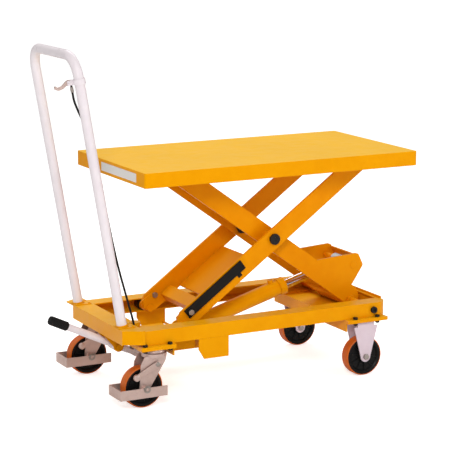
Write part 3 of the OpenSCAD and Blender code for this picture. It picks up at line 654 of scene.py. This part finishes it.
def stitches(start, end, run, gap):
    """Splits a line into evenly spaced runs about gap apart."""
    start, end = Vector(start), Vector(end)
    length = (end - start).length
    count = max(1, int((length + gap) / (run + gap)))
    pitch = length / count
    line = end - start
    firsts = [pitch * k + (pitch - run) / 2 for k in range(count)]
    return [(start + line * (first / length), start + line * ((first + run) / length))
            for first in firsts]


def add_welds(name, body, size, runs=(), rings=()):
    """runs are (start, end); rings are (centre, direction, radius)."""
    bm = bmesh.new()
    for seed, (start, end) in enumerate(runs):
        bead_into(bm, start, end, size, seed)
    for centre, direction, radius in rings:
        ring_bead_into(bm, centre, direction, radius, size)
    add(name, bm, WELD, body, flat_angle=60)


def welds():
    runs = []
    for s in (-1, 1):
        runs.append(((-0.4632, s * 0.170, 0.2314), (-0.4632, s * 0.2235, 0.2314)))
        for x0, x1 in ((0.228, 0.346), (-0.476, -0.364)):
            runs += stitches((x0 + 0.004, s * 0.2246, 0.1872), (x1 - 0.004, s * 0.2246, 0.1872),
                             run=0.030, gap=0.014)
    add_welds("welds_base", "base", 0.0024, runs)

    runs = []
    for s in (-1, 1):
        runs += stitches(arm_point(-262, s * 123.4, -24.4), arm_point(-78, s * 123.4, -24.4),
                         run=0.030, gap=0.020)
        runs += stitches(arm_point(-331, s * 117.4, -2.0), arm_point(-291, s * 117.4, -2.0),
                         run=0.034, gap=0.01)
    add_welds("welds_outer_arms", "outer_arms", 0.0022, runs)

    add_welds("welds_hinge_tube", "inner_arms", 0.0019,
              rings=[((0.330, s * 0.0812, 0.209), ACROSS, 0.0190) for s in (-1, 1)])
    add_welds("welds_centre_spacers", "inner_arms", 0.0022,
              rings=[((0.025, s * 0.0906, 0.4465), ACROSS, 0.0206) for s in (-1, 1)])
    # along both faces of each of the two lug plates on each side
    add_welds("welds_platform_lugs", "platform", 0.0022,
              [((0.308, s * y * MM, 0.7002), (0.352, s * y * MM, 0.7002))
               for s in (-1, 1) for y in (115.5, 121.5, 134.5, 140.5)])
    # level rings round the feet of the tilted handle
    add_welds("welds_handle_sockets", "base", 0.0018,
              rings=[(handle_point(0, s * HANDLE_POST_Y, 2.6), UP, 0.0189) for s in (-1, 1)])


# ------------------------------------------------------------------ cable and hose
CABLE_Y = 22 - HANDLE_POST_Y        # millimetres; just inside the left post
# (x, up) in the handle's frame, millimetres
CABLE_ON_HANDLE = (
    (-18, 733), (-18, 712), (-16.5, 682), (-5, 636), (11, 582), (19, 530), (21.6, 440),
    (22.3, 320), (28, 190), (37.4, 90))
# (x, y, z) down to and along the base
CABLE_ON_BASE = (
    (-0.4592, -0.143, 0.250), (-0.4565, -0.1415, 0.226), (-0.4565, -0.133, 0.205),
    (-0.452, -0.116, 0.1955), (-0.436, -0.1055, 0.1922), (-0.400, -0.104, 0.1915),
    (-0.362, -0.104, 0.1915), (-0.350, -0.106, 0.1906), (-0.343, -0.1135, 0.1878),
    (-0.341, -0.125, 0.182))
# (radius, offset along the cable)
FERRULE = [(0.0034, -0.008), (0.0047, -0.0072), (0.0047, 0.002), (0.0043, 0.003),
           (0.0043, 0.005), (0.0047, 0.006), (0.0047, 0.0075), (0.0034, 0.008)]
# (radius, offset along the hose)
CRIMP = [(0.0064, 0.0), (0.0084, 0.0006), (0.0086, 0.004), (0.0080, 0.0048), (0.0086, 0.0056),
         (0.0086, 0.0095), (0.0080, 0.0103), (0.0086, 0.0111), (0.0084, 0.0150),
         (0.0064, 0.0158)]


def release_cable():
    """One smooth sheath with a ferrule at each end."""
    path = [handle_point(x, CABLE_Y, up) for x, up in CABLE_ON_HANDLE]
    path += [Vector(p) for p in CABLE_ON_BASE]
    bm = bmesh.new()
    sweep_into(bm, smooth_path(path, 12), 0.0033, 14)
    add("release_cable_sheath", bm, RUBBER, "base", replaces="release_cable")
    post = Vector((-math.sin(HANDLE_TILT), 0, math.cos(HANDLE_TILT)))
    tail = (path[-1] - path[-2]).normalized()
    for end, centre, direction in (("top", handle_point(-18, CABLE_Y, 721), post),
                                   ("valve", path[-1] - tail * 0.0085, tail)):
        lathe("cable_ferrule_" + end, FERRULE, centre, direction, ZINC_DARK, "base", 32)


def hydraulic_hose():
    """Straight from the pump along +X, then a quarter bend towards +Y."""
    y, z = -0.054, 0.166
    start_x, bend_x, bend_r = -0.2735, -0.180, 0.016
    bend_centre = Vector((bend_x, y + bend_r, z))
    points = [(start_x + (bend_x - start_x) * k / 20, y, z) for k in range(20)]
    points += [bend_centre + on_circle(Vector((0, -1, 0)), Vector((1, 0, 0)),
                                       math.radians(90 * i / 16)) * bend_r for i in range(17)]
    points.append((bend_x + bend_r, -0.0379, z))
    bm = bmesh.new()
    sweep_into(bm, points, 0.0061, 18)
    add("hydraulic_hose_line", bm, RUBBER, "base", replaces="hydraulic_hose")
    lathe("hose_crimp_pump", CRIMP, (-0.2700, y, z), (1, 0, 0), ZINC_DARK, "base", 40)
    nut = [(0.0, -0.0001), (0.0095, -0.0001), (0.0095, 0.0085), (0.0, 0.0085)]
    lathe("hose_nut_pump", nut, (-0.2820, y, z), (1, 0, 0), ZINC_DARK, "base", 6,
          closed=False, ease=0.0006, smooth=False)


# ------------------------------------------------------------------ swivel casters
# (radius, height above the floor)
RACE = [(0.0311, 0.1635), (0.0330, 0.1640), (0.0345, 0.1658), (0.0348, 0.1680),
        (0.0338, 0.1700), (0.0330, 0.1715), (0.0333, 0.1760), (0.0340, 0.1779),
        (0.0311, 0.1779)]
# (radius, offset along Y) from the wheel's middle plane
BRAKE_PIN = [(0.0, -0.0365), (0.0045, -0.0365), (0.0072, -0.0350), (0.0072, -0.0332),
             (0.0050, -0.0331), (0.0050, 0.0286), (0.0044, 0.0292), (0.0, 0.0292)]
BRAKE_SLEEVE = [(0.0051, -0.0216), (0.0084, -0.0216), (0.0090, -0.0210), (0.0090, 0.0210),
                (0.0084, 0.0216), (0.0051, 0.0216)]
# (x from the axle, z)
BRAKE_CAM = [(0.036, 0.1262), (0.0242, 0.1262), (0.0116, 0.1333), (0.0130, 0.1388),
             (0.036, 0.1388)]
# (radius, offset along Y) from the knob's +Y face
KNOB = [(0.0, -0.0125), (0.0070, -0.0125), (0.0096, -0.0112), (0.0105, -0.0085),
        (0.0105, -0.0035), (0.0092, -0.0012), (0.0060, 0.0), (0.0, 0.0)]
# (radius, outward offset from the seat, which is AXLE_SEAT from the wheel's middle plane)
WASHER = [(0.0061, -0.0001), (0.0112, -0.0001), (0.0116, 0.0006), (0.0112, 0.0016),
          (0.0061, 0.0016)]
AXLE_NUT = [(0.0060, 0.0014), (0.0089, 0.0014), (0.0094, 0.0022), (0.0094, 0.0040),
            (0.0088, 0.0046), (0.0060, 0.0046)]
AXLE_SEAT = 0.0430


def foot_brake(side, y):
    """Pin, sleeve and cam over the wheel, and a strap that ends in a round knob."""
    body = "brake_pedal_" + side[0]
    pin_x, pin_z = REAR_AXLE_X + 0.040, 0.131
    knob_x, knob_z = REAR_AXLE_X - 0.030, 0.099
    bm = bmesh.new()
    lathe_into(bm, BRAKE_PIN, (pin_x, y, pin_z), ACROSS, 40, closed=False)
    lathe_into(bm, BRAKE_SLEEVE, (pin_x, y, pin_z), ACROSS, 48)
    prism_into(bm, [(REAR_AXLE_X + x, z) for x, z in BRAKE_CAM], y - 0.012, y + 0.012)
    add("brake_cam_" + side, bm, ZINC_DARK, body, replaces="brake_" + side)
    bm = bmesh.new()
    prism_into(bm, capsule((pin_x, pin_z), 0.0098, (knob_x, knob_z), 0.0062),
               y - 0.0330, y - 0.0295)
    add("brake_strap_" + side, bm, ZINC, body, ease=0.0006)
    lathe("brake_knob_" + side, KNOB, (knob_x, y - 0.0285, knob_z), ACROSS, ZINC, body, 48,
          closed=False)


def axle_nut(side, y, end, sign):
    """Washer and hexagon nut on one end of a swivel caster's axle."""
    centre = (REAR_AXLE_X, y + sign * AXLE_SEAT, WHEEL_R)
    bm = bmesh.new()
    lathe_into(bm, mirrored(WASHER, sign), centre, ACROSS, 48)
    lathe_into(bm, mirrored(AXLE_NUT, sign), centre, ACROSS, 6)
    add(f"axle_nut_rear_{side}_{end[0]}", bm, ZINC_DARK, "caster_" + side[0], flat_angle=25)


def swivel_casters():
    for side, sign in SIDES:
        lathe("swivel_race_" + side, RACE, (SWIVEL_X, sign * HALF_TRACK, 0.0), UP, ZINC,
              "base", 80)
    for side, sign in SIDES:
        foot_brake(side, sign * HALF_TRACK)
    for side, sign in SIDES:
        for end, end_sign in SIDES:
            axle_nut(side, sign * HALF_TRACK, end, end_sign)


# ------------------------------------------------------------------ camera, floor, light
def add_camera():
    data = bpy.data.cameras.new("camera")
    data.sensor_width = 36.0
    data.lens = 144.7776
    camera = bpy.data.objects.new("camera", data)
    scene.collection.objects.link(camera)
    camera.location = Vector((-2.61911, -4.89441, 1.56459)) + SHIFT
    # heading from +Y towards +X, and the angle below level
    heading, down = math.radians(27.45), math.radians(11.16)
    look = Vector((math.sin(heading) * math.cos(down), math.cos(heading) * math.cos(down),
                   -math.sin(down)))
    camera.rotation_euler = look.to_track_quat("-Z", "Y").to_euler()
    scene.camera = camera


def floor_material():
    mat = Material("floor_pale")
    colour = mat.mix(mat.ramp(mat.noise(scale=1.6, detail=3.0), between=(0.3, 0.7)),
                     (0.90, 0.90, 0.905), (0.93, 0.93, 0.935))
    grain = mat.noise(scale=300.0, detail=2.0)
    mat.finish({"Base Color": colour, "Roughness": 0.8, "Specular IOR Level": 0.1,
                "Normal": mat.bump(grain, strength=0.04, distance=0.0005)})
    # to the camera the floor is lifted to a studio white, and keeps its soft shadows
    rays = mat.node("ShaderNodeLightPath")
    glow = mat.node("ShaderNodeEmission", {"Color": (1.0, 1.0, 1.0), "Strength": 0.62})
    plain = mat.shader.outputs[0]
    lifted = mat.node("ShaderNodeAddShader", {0: plain, 1: glow.outputs[0]})
    chosen = mat.node("ShaderNodeMixShader",
                      {0: rays.outputs["Is Camera Ray"], 1: plain, 2: lifted.outputs[0]})
    mat.feed(mat.output.inputs[0], chosen.outputs[0])
    return mat.material


def add_floor():
    material = floor_material()
    bm = bmesh.new()
    bmesh.ops.create_grid(bm, x_segments=8, y_segments=8, size=60.0)
    mesh = bpy.data.meshes.new("floor")
    bm.to_mesh(mesh)
    bm.free()
    floor = bpy.data.objects.new("floor", mesh)
    floor.data.materials.append(material)
    scene.collection.objects.link(floor)


def add_world():
    """Bright overhead and towards +Y, dim on the camera's side, to keep the paint's depth."""
    world = bpy.data.worlds.new("studio")
    scene.world = world
    world.use_nodes = True
    sky = NodeTree(world.node_tree)
    background = sky.tree.nodes["Background"]
    coords = sky.node("ShaderNodeTexCoord")
    axes = sky.node("ShaderNodeSeparateXYZ", {0: coords.outputs["Generated"]})
    smooth = {"interpolation_type": "SMOOTHSTEP"}
    overhead = sky.ramp(axes.outputs["Z"], between=(0.15, 0.95), to=(0.0, 0.55), **smooth)
    behind = sky.ramp(axes.outputs["Y"], between=(-0.1, 0.9), to=(0.0, 0.30), **smooth)
    base_level = 0.10
    strength = sky.calc("ADD", sky.calc("ADD", overhead, behind), base_level)
    sky.feed(background.inputs["Color"], (1.0, 0.985, 0.97))
    sky.feed(background.inputs["Strength"], strength)


def area_light(name, at, target, size, watts, colour=(1, 1, 1)):
    data = bpy.data.lights.new(name, "AREA")
    data.shape = "RECTANGLE"
    data.size, data.size_y = size
    data.energy = watts
    data.color = colour
    light = bpy.data.objects.new(name, data)
    light.location = Vector(at) + SHIFT
    light.rotation_euler = (Vector(target) - Vector(at)).to_track_quat("-Z", "Y").to_euler()
    scene.collection.objects.link(light)


def add_lights():
    warm = (1.0, 0.985, 0.97)
    area_light("key", at=(-3.0, -4.6, 3.4), target=(0, 0, 0.4), size=(1.6, 1.6), watts=168,
               colour=warm)
    area_light("fill", at=(3.4, -3.6, 1.6), target=(0, 0, 0.4), size=(1.8, 1.8), watts=50)
    area_light("low", at=(-0.6, -4.6, 0.7), target=(0, 0, 0.25), size=(1.6, 0.7), watts=9,
               colour=warm)
    area_light("top", at=(0.6, 2.0, 3.6), target=(0, 0, 0.5), size=(2.6, 1.6), watts=52)


# ------------------------------------------------------------------ build
scene = bpy.context.scene
for node_name, node_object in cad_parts.items():
    dress_cad(node_name, node_object)
for end_name, axle_x in (("front", FRONT_AXLE_X), ("rear", REAR_AXLE_X)):
    for side_name, side_sign in SIDES:
        wheel(end_name, side_name, axle_x, side_sign * HALF_TRACK)
pump_spring()
pedal_grip()
welds()
release_cable()
hydraulic_hose()
swivel_casters()
add_camera()
add_floor()
add_world()
add_lights()
scene.view_settings.view_transform = "Standard"
scene.view_settings.look = "None"
